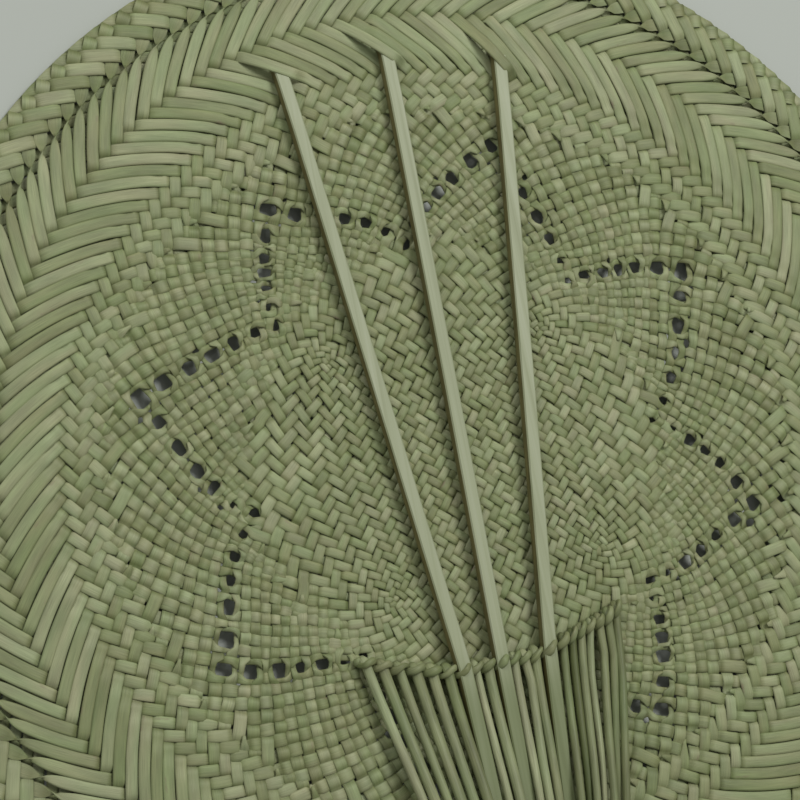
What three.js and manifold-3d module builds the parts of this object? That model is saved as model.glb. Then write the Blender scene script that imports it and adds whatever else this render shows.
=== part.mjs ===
// A round hand fan plaited from palm strips, lying on its back with its face up.
// Three bamboo splints stiffen the face, and a gathered bunch of rolled strands runs down to a bound handle.
// Millimetres, +Z up, +Y from the handle to the top of the disc. The rim's flat underside lies on z = 0.
import * as THREE from "three";
import { mergeVertices } from "three/addons/utils/BufferGeometryUtils.js";
import Module from "manifold-3d";

const wasm = await Module();
wasm.setup();

// Disc: the rings of the plait, measured from the disc's centre.
const DISC_RADIUS = 130; // outer edge of the rim
const RIM_WIDTH = 10.6; // plaited rim
const RIM_THICK = 2.3;
const OUTER_LIMB = 12.4; // reach of the chevrons' outer limbs, inside the rim
const INNER_LIMB = 11; // reach of their inner limbs
const DOME = 2.4; // height of the panel's back over the rim's underside
const SHEET_THICK = 1.1; // two layers of strip
const RIM_LIFT = 0.4; // the sheet's back over the table, beside the rim
const CHEVRONS = 160;
const LIMB_THICK = 1.2; // a chevron limb at its crest
const LIMB_GROOVE = 0.35; // depth of the groove between two limbs
const LIMB_TURN = 0.145; // how far an outer limb turns about the disc, in radians
const GAP = 0.25; // clearance between neighbouring pieces

// Openwork star in the panel: its sides run along the strips, which spiral out at 45 degrees.
const STAR_POINTS = 8;
const STAR_TIP = 74.3;
const STAR_TURN = THREE.MathUtils.degToRad(28.5);
// How far each tip, and the inner corner after it, lies from a regular star: the plait is hand made.
const TIP_NUDGE = [
  [-3.4, 2.9],
  [-1, 2.5],
  [-0.7, -1.1],
  [-1.4, 5.1],
  [0.4, 0],
  [-0.5, 1.5],
  [-0.7, 3.4],
  [-3.3, 2],
];
const CORNER_NUDGE = [
  [1, 0.3],
  [0.1, 3.8],
  [-0.4, 6.5],
  [-3, 2.1],
  [-1.3, 1.2],
  [-1, 0.5],
  [-0.8, -1.1],
  [-2.1, -1.4],
];
const EYELETS_PER_SIDE = 6;
const EYELET_LONG = 3.2;
const EYELET_WIDE = 2.3;

// Splints, from their tips under the chevrons to the end of the handle.
const RIB_WIDTH = 3.1;
const RIB_THICK = 3;
const RIB_TIP_THICK = 0.45;
const RIB_CHAMFER = 0.3;
const RIB_TUCK = 8; // length under the chevrons
const RIB_REACH = [4.6, 2.9, 2.2]; // how far each splint goes in among the chevrons at full thickness
const RIB_BEVEL = 0.8; // length over which it then thins to a tongue
const RIB_SETTLE = 10; // length over which a splint comes down to the leaf
const POCKET_CUT = 1; // how far the room for a splint is cut below it
const RIB_TOP_X = [-27.7, -2, 25.4];
const RIB_TWINE_X = [-12, -2.9, 8.8];
const RIB_EASE = 12; // length over which a splint bends at the band and at the neck

// Strands held by the twine, as rows from [first, last] between the splints.
const STRAND_SPANS = [
  [-34, -15.6],
  [-9, -6],
  [0.2, 5.6],
  [12.8, 27],
];
const STRAND_COUNTS = [6, 2, 3, 7];
const STRAND_DIAMETER = 2;
const STRAND_NECK_DIAMETER = 1.4;
const STRAND_HEAD = 1.6; // stub above the twine
const TWINE_DIAMETER = 1.1;
const TWINE_LOW_Y = -45.2;
const TWINE_MID_X = -6;
const TWINE_REACH = 33; // from its lowest point to its left or right end
const TWINE_RISE = 7.4; // how much higher it is there

// Handle, below the disc.
const HANDLE_X = -3.8;
const NECK_Y = -160;
const HANDLE_END_Y = -256;
const WRAP_WIDTH = 4;
const WRAP_THICK = 0.7;
const WRAP_PITCH = 4.6;
const WRAP_TURNS = 19;
const WRAP_START = 1.5; // from the neck to the wrap's first edge

const RIM_INNER = DISC_RADIUS - RIM_WIDTH;
const SPINE_RADIUS = RIM_INNER - OUTER_LIMB; // ring on which the chevrons turn
const BAND_RADIUS = SPINE_RADIUS - INNER_LIMB; // where the chevrons start
const SHEET_EDGE = RIM_INNER - GAP;
const PANEL_TOP = DOME + SHEET_THICK;
const SLOPE = (DOME - RIM_LIFT) / (SHEET_EDGE - BAND_RADIUS);
const PITCH = STRAND_NECK_DIAMETER + GAP;
const DISC_Y = -(DISC_RADIUS + HANDLE_END_Y) / 2; // puts the origin under the middle of the fan

const material = (color, roughness) =>
  new THREE.MeshStandardMaterial({ color, roughness, metalness: 0 });
const PALM = material(0x929b76, 0.65);
const PALM_PALE = material(0xa6ab88, 0.6);
const BAMBOO = material(0xc9c7ae, 0.5);
const STRAND = material(0x8f9a78, 0.6);

const fan = new THREE.Group();
fan.position.y = DISC_Y;
const v3 = (x, y, z) => new THREE.Vector3(x, y, z);
const lerp = THREE.MathUtils.lerp;
const smooth = THREE.MathUtils.smoothstep;

function addPiece(name, geometry, look) {
  const mesh = new THREE.Mesh(geometry, look);
  mesh.name = name;
  fan.add(mesh);
}

function signedVolume(geometry) {
  const p = geometry.getAttribute("position");
  const index = geometry.index;
  const corner = [v3(), v3(), v3()];
  let sum = 0;
  for (let i = 0; i < index.count; i += 3) {
    corner.forEach((c, k) => c.fromBufferAttribute(p, index.getX(i + k)));
    sum += corner[0].dot(corner[1].clone().cross(corner[2]));
  }
  return sum / 6;
}

// A closed body from points and triangles, turned so that its faces point out.
function closedBody(points, triangles) {
  const geometry = new THREE.BufferGeometry().setFromPoints(points);
  geometry.setIndex(triangles);
  if (signedVolume(geometry) < 0) {
    const turned = [];
    for (let i = 0; i < triangles.length; i += 3)
      turned.push(triangles[i], triangles[i + 2], triangles[i + 1]);
    geometry.setIndex(turned);
  }
  geometry.computeVertexNormals();
  return geometry;
}

// Joins equal sections into one body. An open run gets flat ends; a closed run meets itself.
function loft(sections, closed = false) {
  const sides = sections[0].length;
  const points = sections.flat();
  const triangles = [];
  const count = sections.length;
  for (let s = 0; s < (closed ? count : count - 1); s++)
    for (let k = 0; k < sides; k++) {
      const a = s * sides + k;
      const b = s * sides + ((k + 1) % sides);
      const c = ((s + 1) % count) * sides + k;
      const d = ((s + 1) % count) * sides + ((k + 1) % sides);
      triangles.push(a, b, d, a, d, c);
    }
  if (!closed)
    for (let k = 1; k < sides - 1; k++) {
      const last = (count - 1) * sides;
      triangles.push(0, k + 1, k, last, last + k, last + k + 1);
    }
  return closedBody(points, triangles);
}

function toSolid(geometry) {
  const plain = geometry.clone();
  plain.deleteAttribute("normal");
  plain.deleteAttribute("uv");
  const merged = mergeVertices(plain, 1e-4);
  return new wasm.Manifold(
    new wasm.Mesh({
      numProp: 3,
      vertProperties: merged.getAttribute("position").array,
      triVerts: new Uint32Array(merged.index.array),
    }),
  );
}

function toGeometry(solid) {
  const mesh = solid.getMesh();
  const geometry = new THREE.BufferGeometry();
  const position = new THREE.BufferAttribute(mesh.vertProperties, 3);
  geometry.setAttribute("position", position);
  geometry.setIndex(new THREE.BufferAttribute(mesh.triVerts, 1));
  geometry.computeVertexNormals();
  return geometry;
}

// A body of revolution about Z from a profile of [radius, height] pairs.
function revolve(profile, segments) {
  const outline = profile.map(([r, z]) => new THREE.Vector2(r, z));
  const geometry = new THREE.LatheGeometry(outline, segments);
  geometry.rotateX(Math.PI / 2);
  return geometry;
}

const polar = (r, angle, z) => v3(r * Math.cos(angle), r * Math.sin(angle), z);
const sheetTop = (r) => PANEL_TOP - SLOPE * Math.max(0, r - BAND_RADIUS);

// The panel: a flat middle whose border slopes down to the rim, with the openwork star cut through it.
function eyeletCutter(r, angle, turn, nudge) {
  const shape = new THREE.Shape();
  shape.absellipse(0, 0, EYELET_LONG / 2, EYELET_WIDE / 2, 0, Math.PI * 2);
  const depth = SHEET_THICK + 2;
  const cutter = new THREE.ExtrudeGeometry(shape, {
    depth,
    bevelEnabled: false,
    curveSegments: 4,
  });
  cutter.rotateZ(angle + turn);
  const place = polar(r, angle, DOME - 1);
  cutter.translate(place.x + nudge[0], place.y + nudge[1], place.z);
  return toSolid(cutter);
}

function starCutters() {
  const sideTurn = Math.PI / STAR_POINTS;
  const cutters = [];
  for (let point = 0; point < STAR_POINTS; point++) {
    const tip = STAR_TURN + (point * 2 * Math.PI) / STAR_POINTS;
    const tipNudge = TIP_NUDGE[point];
    const before = CORNER_NUDGE[(point + STAR_POINTS - 1) % STAR_POINTS];
    const after = CORNER_NUDGE[point];
    cutters.push(eyeletCutter(STAR_TIP, tip, 0, tipNudge));
    const valley = STAR_TIP * Math.exp(-sideTurn);
    cutters.push(eyeletCutter(valley, tip + sideTurn, 0, after));
    for (const side of [-1, 1])
      for (let k = 1; k < EYELETS_PER_SIDE; k++) {
        const share = k / EYELETS_PER_SIDE;
        const along = sideTurn * share;
        const corner = side < 0 ? before : after;
        const nudge = tipNudge.map((from, axis) => lerp(from, corner[axis], share));
        const r = STAR_TIP * Math.exp(-along);
        cutters.push(eyeletCutter(r, tip + side * along, (side * Math.PI) / 4, nudge));
      }
  }
  return cutters;
}

function wovenPanel() {
  const sheet = revolve(
    [
      [0, DOME],
      [BAND_RADIUS, DOME],
      [SHEET_EDGE, RIM_LIFT],
      [SHEET_EDGE, RIM_LIFT + SHEET_THICK],
      [BAND_RADIUS, PANEL_TOP],
      [0, PANEL_TOP],
    ],
    80,
  );
  let solid = toSolid(sheet);
  for (const cutter of starCutters()) solid = solid.subtract(cutter);
  return toGeometry(solid);
}

// One ring of chevron limbs: slanting ridges on a flat underside.
function limbRing(inner, outer, turn) {
  const sections = [];
  for (let k = 0; k < CHEVRONS * 2; k++) {
    const angle = (k * Math.PI) / CHEVRONS;
    const crest = k % 2 ? LIMB_THICK : LIMB_THICK - LIMB_GROOVE;
    const floorIn = sheetTop(inner) + GAP;
    const floorOut = sheetTop(outer) + GAP;
    sections.push([
      polar(inner, angle, floorIn),
      polar(outer, angle + turn, floorOut),
      polar(outer, angle + turn, floorOut + crest),
      polar(inner, angle, floorIn + crest),
    ]);
  }
  return loft(sections, true);
}

function rimPlait() {
  const edge = DISC_RADIUS;
  const profile = [
    [RIM_INNER, 0],
    [edge - 0.5, 0],
    [edge, RIM_THICK * 0.35],
    [edge - 0.9, RIM_THICK * 0.85],
    [edge - RIM_WIDTH * 0.35, RIM_THICK * 0.9],
    [edge - RIM_WIDTH * 0.42, RIM_THICK * 0.78],
    [RIM_INNER + 2, RIM_THICK],
    [RIM_INNER, RIM_THICK * 0.8],
    [RIM_INNER, 0],
  ];
  return revolve(profile, 80);
}

// Heights along the gathered part: the base that the splints rest at, from the twine to the neck.
const TWINE_BASE = PANEL_TOP + GAP + TWINE_DIAMETER + GAP;
const BAND_CREST = PANEL_TOP + GAP + LIMB_THICK;
const NECK_BASE = RIM_THICK + 0.4;
const twineY = (x) => TWINE_LOW_Y + TWINE_RISE * ((x - TWINE_MID_X) / TWINE_REACH) ** 2;

function baseHeight(y) {
  const bandBase = Math.max(TWINE_BASE, BAND_CREST + GAP);
  if (y > TWINE_LOW_Y) return TWINE_BASE;
  if (y > -BAND_RADIUS)
    return lerp(TWINE_BASE, bandBase, (TWINE_LOW_Y - y) / (TWINE_LOW_Y + BAND_RADIUS));
  if (y > NECK_Y)
    return lerp(bandBase, NECK_BASE, (-BAND_RADIUS - y) / (-BAND_RADIUS - NECK_Y));
  return NECK_BASE;
}

// A chamfered bar section, level across and upright.
function barSection(x, y, z, width, thick, chamfer) {
  const w = width / 2;
  const c = Math.min(chamfer, thick / 3);
  return [
    v3(x - w + c, y, z),
    v3(x + w - c, y, z),
    v3(x + w, y, z + c),
    v3(x + w, y, z + thick - c),
    v3(x + w - c, y, z + thick),
    v3(x - w + c, y, z + thick),
    v3(x - w, y, z + thick - c),
    v3(x - w, y, z + c),
  ];
}

// The stations of one splint from its tip: place, underside height and thickness.
function ribStations(rib) {
  const topX = RIB_TOP_X[rib];
  const bandY = Math.sqrt(BAND_RADIUS ** 2 - topX ** 2);
  const twineX = RIB_TWINE_X[rib];
  const atTwine = twineY(twineX);
  const neckX = HANDLE_X + (rib - 1) * (RIB_WIDTH + GAP);
  const xAt = (y) => lerp(twineX, topX, (y - atTwine) / (bandY - atTwine));
  const under = (y) => sheetTop(Math.hypot(xAt(y), y)) + GAP;
  const tipY = bandY + RIB_TUCK;
  const edgeY = bandY + RIB_REACH[rib];
  const fullY = edgeY - RIB_BEVEL;
  const downY = bandY - RIB_SETTLE;
  const midY = (downY + atTwine) / 2;
  const stations = [
    [xAt(tipY), tipY, under(tipY), RIB_TIP_THICK],
    [xAt(edgeY), edgeY, under(edgeY), RIB_TIP_THICK],
    [xAt(fullY), fullY, under(fullY), RIB_THICK],
    [topX, bandY, under(bandY), RIB_THICK],
    [xAt(downY), downY, lerp(PANEL_TOP + GAP, TWINE_BASE, 0.35), RIB_THICK],
    [xAt(midY), midY, lerp(PANEL_TOP + GAP, TWINE_BASE, 0.85), RIB_THICK],
    [twineX, atTwine, TWINE_BASE, RIB_THICK],
  ];
  for (const y of [-BAND_RADIUS, -BAND_RADIUS - RIB_EASE, NECK_Y + RIB_EASE, NECK_Y]) {
    const x = lerp(twineX, neckX, (atTwine - y) / (atTwine - NECK_Y));
    stations.push([x, y, baseHeight(y), RIB_THICK]);
  }
  stations.push([neckX, HANDLE_END_Y, NECK_BASE, RIB_THICK]);
  return stations;
}

function ribBody(rib) {
  const sections = ribStations(rib).map(([x, y, z, thick]) =>
    barSection(x, y, z, RIB_WIDTH, thick, RIB_CHAMFER),
  );
  return loft(sections);
}

// The room that a splint needs among the chevrons: a notch for its end and a pocket for its tongue.
function ribPocket(rib) {
  const [tip, edge, , band] = ribStations(rib);
  const wide = RIB_WIDTH + 2 * GAP;
  const low = RIB_TIP_THICK + GAP + POCKET_CUT;
  const high = RIB_THICK + GAP + POCKET_CUT;
  const reach = (from, step) => [from[0], from[1] + step, from[2] - POCKET_CUT];
  return loft([
    barSection(...reach(tip, GAP), wide, low, RIB_CHAMFER),
    barSection(...reach(edge, GAP), wide, low, RIB_CHAMFER),
    barSection(...reach(edge, 0), wide, high, RIB_CHAMFER),
    barSection(...reach(band, 0), wide, high, RIB_CHAMFER),
    barSection(...reach(band, -RIB_TUCK), wide, high, RIB_CHAMFER),
  ]);
}

function roundSection(centre, along, radius, sides) {
  const right = along.clone().cross(v3(0, 0, 1)).normalize();
  const up = right.clone().cross(along).normalize();
  const points = [];
  for (let k = 0; k < sides; k++) {
    const turn = (k * 2 * Math.PI) / sides;
    const point = centre.clone().addScaledVector(right, radius * Math.cos(turn));
    points.push(point.addScaledVector(up, radius * Math.sin(turn)));
  }
  return points;
}

function tube(centres, radii, sides) {
  const sections = centres.map((centre, k) => {
    const before = centres[Math.max(0, k - 1)];
    const after = centres[Math.min(centres.length - 1, k + 1)];
    return roundSection(centre, after.clone().sub(before).normalize(), radii[k], sides);
  });
  return loft(sections);
}

// A strand starts beside its neighbours and rises into one of two layers on top of the splints.
function strandBody(order, x) {
  const layer = order % 2;
  const slot = Math.floor(order / 2);
  const startY = twineY(x);
  const neckX = HANDLE_X + (slot - (STRANDS.length / 2 - 1) / 2) * PITCH;
  const rowHeight = STRAND_DIAMETER / 2;
  const layerHeight = RIB_THICK + GAP + STRAND_NECK_DIAMETER / 2 + layer * PITCH;
  const centres = [v3(x, startY + STRAND_HEAD, TWINE_BASE + rowHeight)];
  const radii = [STRAND_DIAMETER / 2];
  for (const u of [0.01, 0.08, 0.15, 0.22, 0.3, 0.36, 0.45, 0.56, 0.9, 1]) {
    const y = lerp(startY, NECK_Y, u);
    const rise = smooth(u, 0.01, 0.3 + 0.05 * layer);
    const height = baseHeight(y) + lerp(rowHeight, layerHeight, rise);
    centres.push(v3(lerp(x, neckX, u), y, height));
    radii.push(lerp(STRAND_DIAMETER, STRAND_NECK_DIAMETER, u) / 2);
  }
  centres.push(v3(neckX, HANDLE_END_Y, NECK_BASE + layerHeight));
  radii.push(STRAND_NECK_DIAMETER / 2);
  return tube(centres, radii, 6);
}

// One cord of the twine, level along the row of strands.
function twineBody(height) {
  const first = STRANDS[0] - 2;
  const last = STRANDS[STRANDS.length - 1] + 2;
  const steps = 20;
  const centres = [];
  for (let k = 0; k <= steps; k++) {
    const x = lerp(first, last, k / steps);
    centres.push(v3(x, twineY(x), height));
  }
  const radii = centres.map(() => TWINE_DIAMETER / 2);
  return tube(centres, radii, 6);
}

// The handle's binding: a flat strip wound round the bundle in a rounded rectangle.
function wrapBody() {
  const bundleHigh = RIB_THICK + GAP + 2 * STRAND_NECK_DIAMETER + GAP;
  const middle = NECK_BASE + bundleHigh / 2;
  const round = 1.2;
  const halfWide = (STRANDS.length / 4) * PITCH + GAP - round;
  const halfHigh = bundleHigh / 2 + GAP - round;
  const corners = [
    [1, 1],
    [-1, 1],
    [-1, -1],
    [1, -1],
  ];
  const perTurn = 12;
  const sections = [];
  for (let k = 0; k <= WRAP_TURNS * perTurn; k++) {
    const [sx, sz] = corners[Math.floor((k % perTurn) / 3)];
    const quarter = Math.floor((k % perTurn) / 3);
    const angle = (quarter + (k % 3) / 2) * (Math.PI / 2);
    const out = v3(Math.cos(angle), 0, Math.sin(angle));
    const y = NECK_Y - WRAP_START - WRAP_WIDTH / 2 - (k / perTurn) * WRAP_PITCH;
    const core = v3(HANDLE_X + sx * halfWide, y, middle + sz * halfHigh);
    const near = core.clone().addScaledVector(out, round);
    const far = core.clone().addScaledVector(out, round + WRAP_THICK);
    const half = v3(0, WRAP_WIDTH / 2, 0);
    sections.push([
      near.clone().add(half),
      far.clone().add(half),
      far.clone().sub(half),
      near.clone().sub(half),
    ]);
  }
  let least = Infinity;
  for (let k = perTurn; k < sections.length; k++)
    least = Math.min(least, sections[k - perTurn][3].distanceTo(sections[k][0]));
  console.log("handle_wrap least gap between turns, mm:", least.toFixed(2));
  return loft(sections);
}

const STRANDS = STRAND_SPANS.flatMap(([first, last], row) =>
  Array.from({ length: STRAND_COUNTS[row] }, (_, k) =>
    lerp(first, last, k / (STRAND_COUNTS[row] - 1)),
  ),
);

addPiece("woven_panel", wovenPanel(), PALM);
const innerEdge = BAND_RADIUS + GAP;
const innerTurn = (LIMB_TURN * INNER_LIMB) / OUTER_LIMB;
let innerLimbs = toSolid(limbRing(innerEdge, SPINE_RADIUS - GAP / 2, innerTurn));
for (let rib = 0; rib < 3; rib++)
  innerLimbs = innerLimbs.subtract(toSolid(ribPocket(rib)));
addPiece("chevron_inner_limbs", toGeometry(innerLimbs), PALM_PALE);
const outerLimbs = limbRing(SPINE_RADIUS + GAP / 2, SHEET_EDGE, -LIMB_TURN);
addPiece("chevron_outer_limbs", outerLimbs, PALM_PALE);
addPiece("rim_plait", rimPlait(), PALM);
["rib_left", "rib_middle", "rib_right"].forEach((name, rib) =>
  addPiece(name, ribBody(rib), BAMBOO),
);
STRANDS.forEach((x, order) => {
  const number = String(order + 1).padStart(2, "0");
  addPiece("gather_strand_" + number, strandBody(order, x), STRAND);
});
const backTwine = PANEL_TOP + GAP + TWINE_DIAMETER / 2;
const rowTop = Math.max(RIB_THICK, STRAND_DIAMETER);
const frontTwine = TWINE_BASE + rowTop + GAP + TWINE_DIAMETER / 2;
addPiece("twine_back_ply", twineBody(backTwine), PALM_PALE);
addPiece("twine_front_ply", twineBody(frontTwine), PALM_PALE);
addPiece("handle_wrap", wrapBody(), PALM);

export default fan;
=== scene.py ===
"""A round palm-strip hand fan on a pale table, seen from above and from its left."""
import math

import bpy
import numpy as np
from mathutils import Matrix, Vector


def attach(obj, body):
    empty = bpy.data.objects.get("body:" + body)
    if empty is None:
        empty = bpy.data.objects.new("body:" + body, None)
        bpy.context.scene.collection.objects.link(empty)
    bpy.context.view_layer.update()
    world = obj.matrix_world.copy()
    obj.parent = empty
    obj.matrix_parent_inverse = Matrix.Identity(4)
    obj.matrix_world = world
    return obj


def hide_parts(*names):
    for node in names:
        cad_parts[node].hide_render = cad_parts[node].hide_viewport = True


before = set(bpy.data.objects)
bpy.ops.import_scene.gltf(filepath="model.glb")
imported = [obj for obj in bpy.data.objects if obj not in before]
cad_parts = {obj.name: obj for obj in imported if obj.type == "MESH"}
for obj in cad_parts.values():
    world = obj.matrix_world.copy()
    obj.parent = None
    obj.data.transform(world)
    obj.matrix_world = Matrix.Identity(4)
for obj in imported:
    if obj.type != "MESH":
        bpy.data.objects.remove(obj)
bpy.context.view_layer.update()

# The model is worked out in millimetres about the disc's centre, then placed in the frame in metres.
MM = 0.001
RNG = np.random.default_rng(7)
DISC_CENTRE = np.array([0.0, 63.0, 0.0])

# Rings of the plait.
DISC_RADIUS = 130.0
TWIST_RADIUS = 119.2  # the outer limbs take a half twist before the rim
SPINE_RADIUS = 107.0  # the chevrons turn here
BAND_RADIUS = 96.0  # the chevrons start here
BAND_SWITCH = 97.0  # the first crossings under the inner limbs
ADD_RADIUS = 81.0  # ring on which strips are added outside the star
MAT_RADIUS = 47.4  # the straight mat has become a spiral plait here
FOLD_RADIUS = 37.0  # four points at which the mat's strips fold round a corner
STAR_TURN = math.radians(28.5)

# Strips in each of the two families.
MAT_HALF = 22  # strips between the centre and a fold point
STAR_STRIPS = 112
RIM_STRIPS = 160
# Of each 14 strips of the star's zone these come from the mat, and the others start at its edge.
MAT_GROUP = 14
MAT_KEPT = (0, 1, 2, 4, 5, 6, 7, 9, 10, 11, 13)
# Of each 10 strips of the rim these come from the star's zone, and the others are added outside it.
RIM_GROUP = 10
RIM_KEPT = (0, 1, 3, 4, 6, 7, 9)
RIM_ADDED = (2, 5, 8)
SPREAD_FROM, SPREAD_TO = 77.0, 88.0  # strips move over for the added ones between these radii
MAT_SETTLE = 9.0  # radial way in which the mat's strips reach even spacing
STRIP_WIDTH = 3.35  # widest strip
STRIP_FILL = 1.06  # share of the spacing that a strip takes in the mat
FILL_STEPS = ((52, 58, -0.09), (92, 98, 0.05), (117, 121, 0.09))  # from radius, to radius, change
FILL_TWILL = (78, 83, 93, 97, 0.1)  # wider strips between the star and the chevrons
FILL_MAT_EDGE = (51, 4, 0.1)  # wider strips at the mat's edge: radius, reach, change
MAT_NARROWEST = 0.72  # narrowest a mat strip gets near a fold point
START_WIDTH, START_WAY = 0.25, 3.5  # an added strip starts this narrow and widens in this way
STRIP_THICK = 0.34
STEP = 0.62  # radial step between the points of a strip

# Heights of the leaf's middle surface and of the strips over and under it.
PANEL_Z = 2.95
RIM_Z = 1.05
LIFT = 0.42
STAR_LIFT = 0.1  # more lift where the star is, coming and going between these radii
STAR_LIFT_FROM, STAR_LIFT_TO = (50, 56), (94, 97)
BAND_LIFT = 1.0
RIM_LIFT_UP, RIM_LIFT_DOWN = 0.08, 0.05  # more lift in the rim, over and under
TAIL_LIFT = 0.35  # an added strip's loose end stands up or tucks in by this
EDGE_FOLD_UP, EDGE_FOLD_DOWN = 1.1, 0.3  # how far the rim's edge folds down, over and under
TWIST_DROP_UP, TWIST_DROP_DOWN = 0.15, 0.55  # how far strips sink at the twist, over and under
TWIST_NARROW = 0.15  # how much narrower the strips under the twist are
TURNED_DROP = 0.45  # how far a turned strip sinks past the twist
PINCH = 0.55  # how much narrower a strip is where it turns over
TURN_RISE = 0.35  # share of the half width that stands up in the turn
DISH = 0.42  # how much the edges of the long floats stand up, in thicknesses
WOBBLE_KNOT = 12  # points between changes in a strip's wobble
WOBBLE = 0.07  # spread of the wobble along a strip
STRAY = 0.06  # spread of a whole strip's place
LOOSE = 0.9  # more wobble inside the chevrons, gone between these radii
LOOSE_TO = (86, 92)
FLOAT_STRETCH = 1.12  # above 1, a strip stays at full height for longer at a crossing

# Openwork star: holes lie between strips, two or three strips apart, from ring 16 in to ring 2 of the plait.
STAR_INNER_RING = 2
STAR_OUTER_RING = 16
HOLE_STEPS = (0, 2, 5, 7, 9, 12, 14)
HOLE_HALF = 0.48  # half the width of a hole, in strips
HOLE_REACH = 3.4  # how far out the strips are squeezed
COMPANION_SHARE = 0.6  # share of the holes with a small one beside them
# How far each tip and each inner corner lies from its place in a regular star, in x and y.
TIP_NUDGE = (
    (-3.4, 2.9), (-1.0, 2.5), (-0.7, -1.1), (-1.4, 5.1),
    (0.4, 0.0), (-0.5, 1.5), (-0.7, 3.4), (-3.3, 2.0),
)
CORNER_NUDGE = (
    (1.0, 0.3), (0.1, 3.8), (-0.4, 6.5), (-3.0, 2.1),
    (-1.3, 1.2), (-1.0, 0.5), (-0.8, -1.1), (-2.1, -1.4),
)
NUDGE_REACH = 13.0  # how far from a tip or corner the plait is drawn aside
NUDGE_FADE = (76.0, 95.0)  # radii between which that fades out
EVEN_REACH = 3.2  # how far from a hole the strips are drawn along to even the spacing
EVEN_ZONE, HOLE_ZONE = (42, 84), (42, 86)  # radii between which strips are drawn along or parted
FAR_WEIGHT = 0.15  # weight of staying in place
HOLE_BOX = 5.5  # a hole further off than this, in x or y, is left out

# Splints, strands, twine and handle, as in the solids.
RIB_TOP_X = (-27.7, -2.0, 25.4)
RIB_TWINE_X = (-12.0, -2.9, 8.8)
RIB_TIP_THICK = 0.45
RIB_TUCK = 8.0
RIB_REACH = (4.6, 2.9, 2.2)  # full thickness goes this far past the chevrons' edge
RIB_SHOWS = (2.4, 0.4, -0.3)  # a strip that crosses a splint beyond this lies over it
RIB_SETTLE = 10.0  # the splint comes down to the leaf in this way before the chevrons
RIB_FEET = (4.22, 3.75, 3.1)  # height of a splint's underside before, at and past the chevrons' edge
RIB_CLEAR = 0.1  # room between a splint and a strip over or under it
OVER_HOLD = 2.0  # a strip over a splint keeps its height this far to each side
OVER_SLOPE = 3.6  # way down on the outer side, for each unit of the splint's height
OVER_INNER = 6.5  # end of the way down on the inner side
OVER_PULL = 1.5  # a strip over the thick part is drawn back along the splint by this
UNDER_EASE = (2.3, 4.6)  # a strip under a splint comes back up between these distances
HANDLE_X = -3.8
NECK_Y = -160.0
HANDLE_END_Y = -256.0
STRAND_ROWS = ((-34.0, -15.6, 6), (-9.0, -6.0, 2), (0.2, 5.6, 3), (12.8, 27.0, 7))
STRAND_WIDTH = 2.0
STRAND_NECK_WIDTH = 1.4
STRAND_HEAD = 1.6
GAP = 0.25
RIB_THICK = 3.0
PANEL_TOP = 3.5
TWINE_WIDTH = 1.1
TWINE_BASE = PANEL_TOP + 2 * GAP + TWINE_WIDTH
BAND_BASE = PANEL_TOP + 2 * GAP + 1.2
NECK_BASE = 2.7
TWINE_LOW_Y = -45.2
TWINE_MID_X = -6.0
TWINE_REACH = 33.0
TWINE_RISE = 7.4
WRAP_WIDTH = 4.0
WRAP_THICK = 0.7
WRAP_PITCH = 4.6
WRAP_TURNS = 19
WRAP_START = 1.5


def smooth(x, low, high):
    t = np.clip((np.asarray(x, float) - low) / (high - low), 0.0, 1.0)
    return t * t * (3 - 2 * t)


def polar(r, angle):
    return np.stack([r * np.cos(angle), r * np.sin(angle)], axis=-1)


def radius_of(points):
    return np.hypot(points[:, 0], points[:, 1])


def unit(vectors):
    return vectors / np.linalg.norm(vectors, axis=1)[:, None]


def run_along(points):
    """Distance along a line of points, from its first."""
    return np.concatenate([[0.0], np.cumsum(np.linalg.norm(np.diff(points, axis=0), axis=1))])


# Spiral plait: angle turned by a strip from the mat's edge to a radius, and rings counted on the way.
GRID = np.arange(MAT_RADIUS, DISC_RADIUS + 2.5, STEP)
LEAN_RADII = (47, 81, 94, 107, 119, 130)
LEAN_DEGREES = (45, 45, 46, 50, 53, 55)
LEAN = np.radians(np.interp(GRID, LEAN_RADII, LEAN_DEGREES))
TURN = np.concatenate([[0.0], np.cumsum(np.tan(LEAN[1:]) / GRID[1:] * STEP)])
STAR_PITCH = math.pi / STAR_STRIPS  # angle that a strip turns between two rings of the star's zone


def turn_at(r):
    return np.interp(r, GRID, TURN)


def star_ring_radius(ring):
    return np.interp(ring * STAR_PITCH, TURN, GRID)


def rings_from(r, start, strips):
    return (turn_at(r) - turn_at(start)) * strips / math.pi


def left_family_over(r):
    """Which family lies on top at a crossing: True for strips that turn left on their way out."""
    star_ring = np.rint(rings_from(r, MAT_RADIUS, STAR_STRIPS))
    twill_ring = np.rint(rings_from(r, ADD_RADIUS, RIM_STRIPS))
    rim_ring = np.floor(rings_from(r, TWIST_RADIUS, RIM_STRIPS))
    over = np.where(r < ADD_RADIUS, star_ring % 2 == 0, (twill_ring // 2) % 2 == 0)
    over = np.where(r >= BAND_SWITCH, True, over)
    over = np.where(r >= SPINE_RADIUS, False, over)
    rim_over = ((rim_ring >= 1) & (rim_ring <= 3)) | (rim_ring >= 5)
    return np.where(r >= TWIST_RADIUS, rim_over, over)


# Width of a mat strip at the centre, where the fold points lie at distance 1.
MAT_UNIT = math.pi / (2 * math.sqrt(2)) / MAT_HALF
SUBSTEPS = 12  # tracing steps to a strip's width
POINTS_PER_STRIP = 3  # points that are kept of them


def fold_slope(w):
    """How the straight grid is stretched and turned at a place, with fold points at 1, i, -1 and -i."""
    return (1 - w ** 4) ** 0.25


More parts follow.
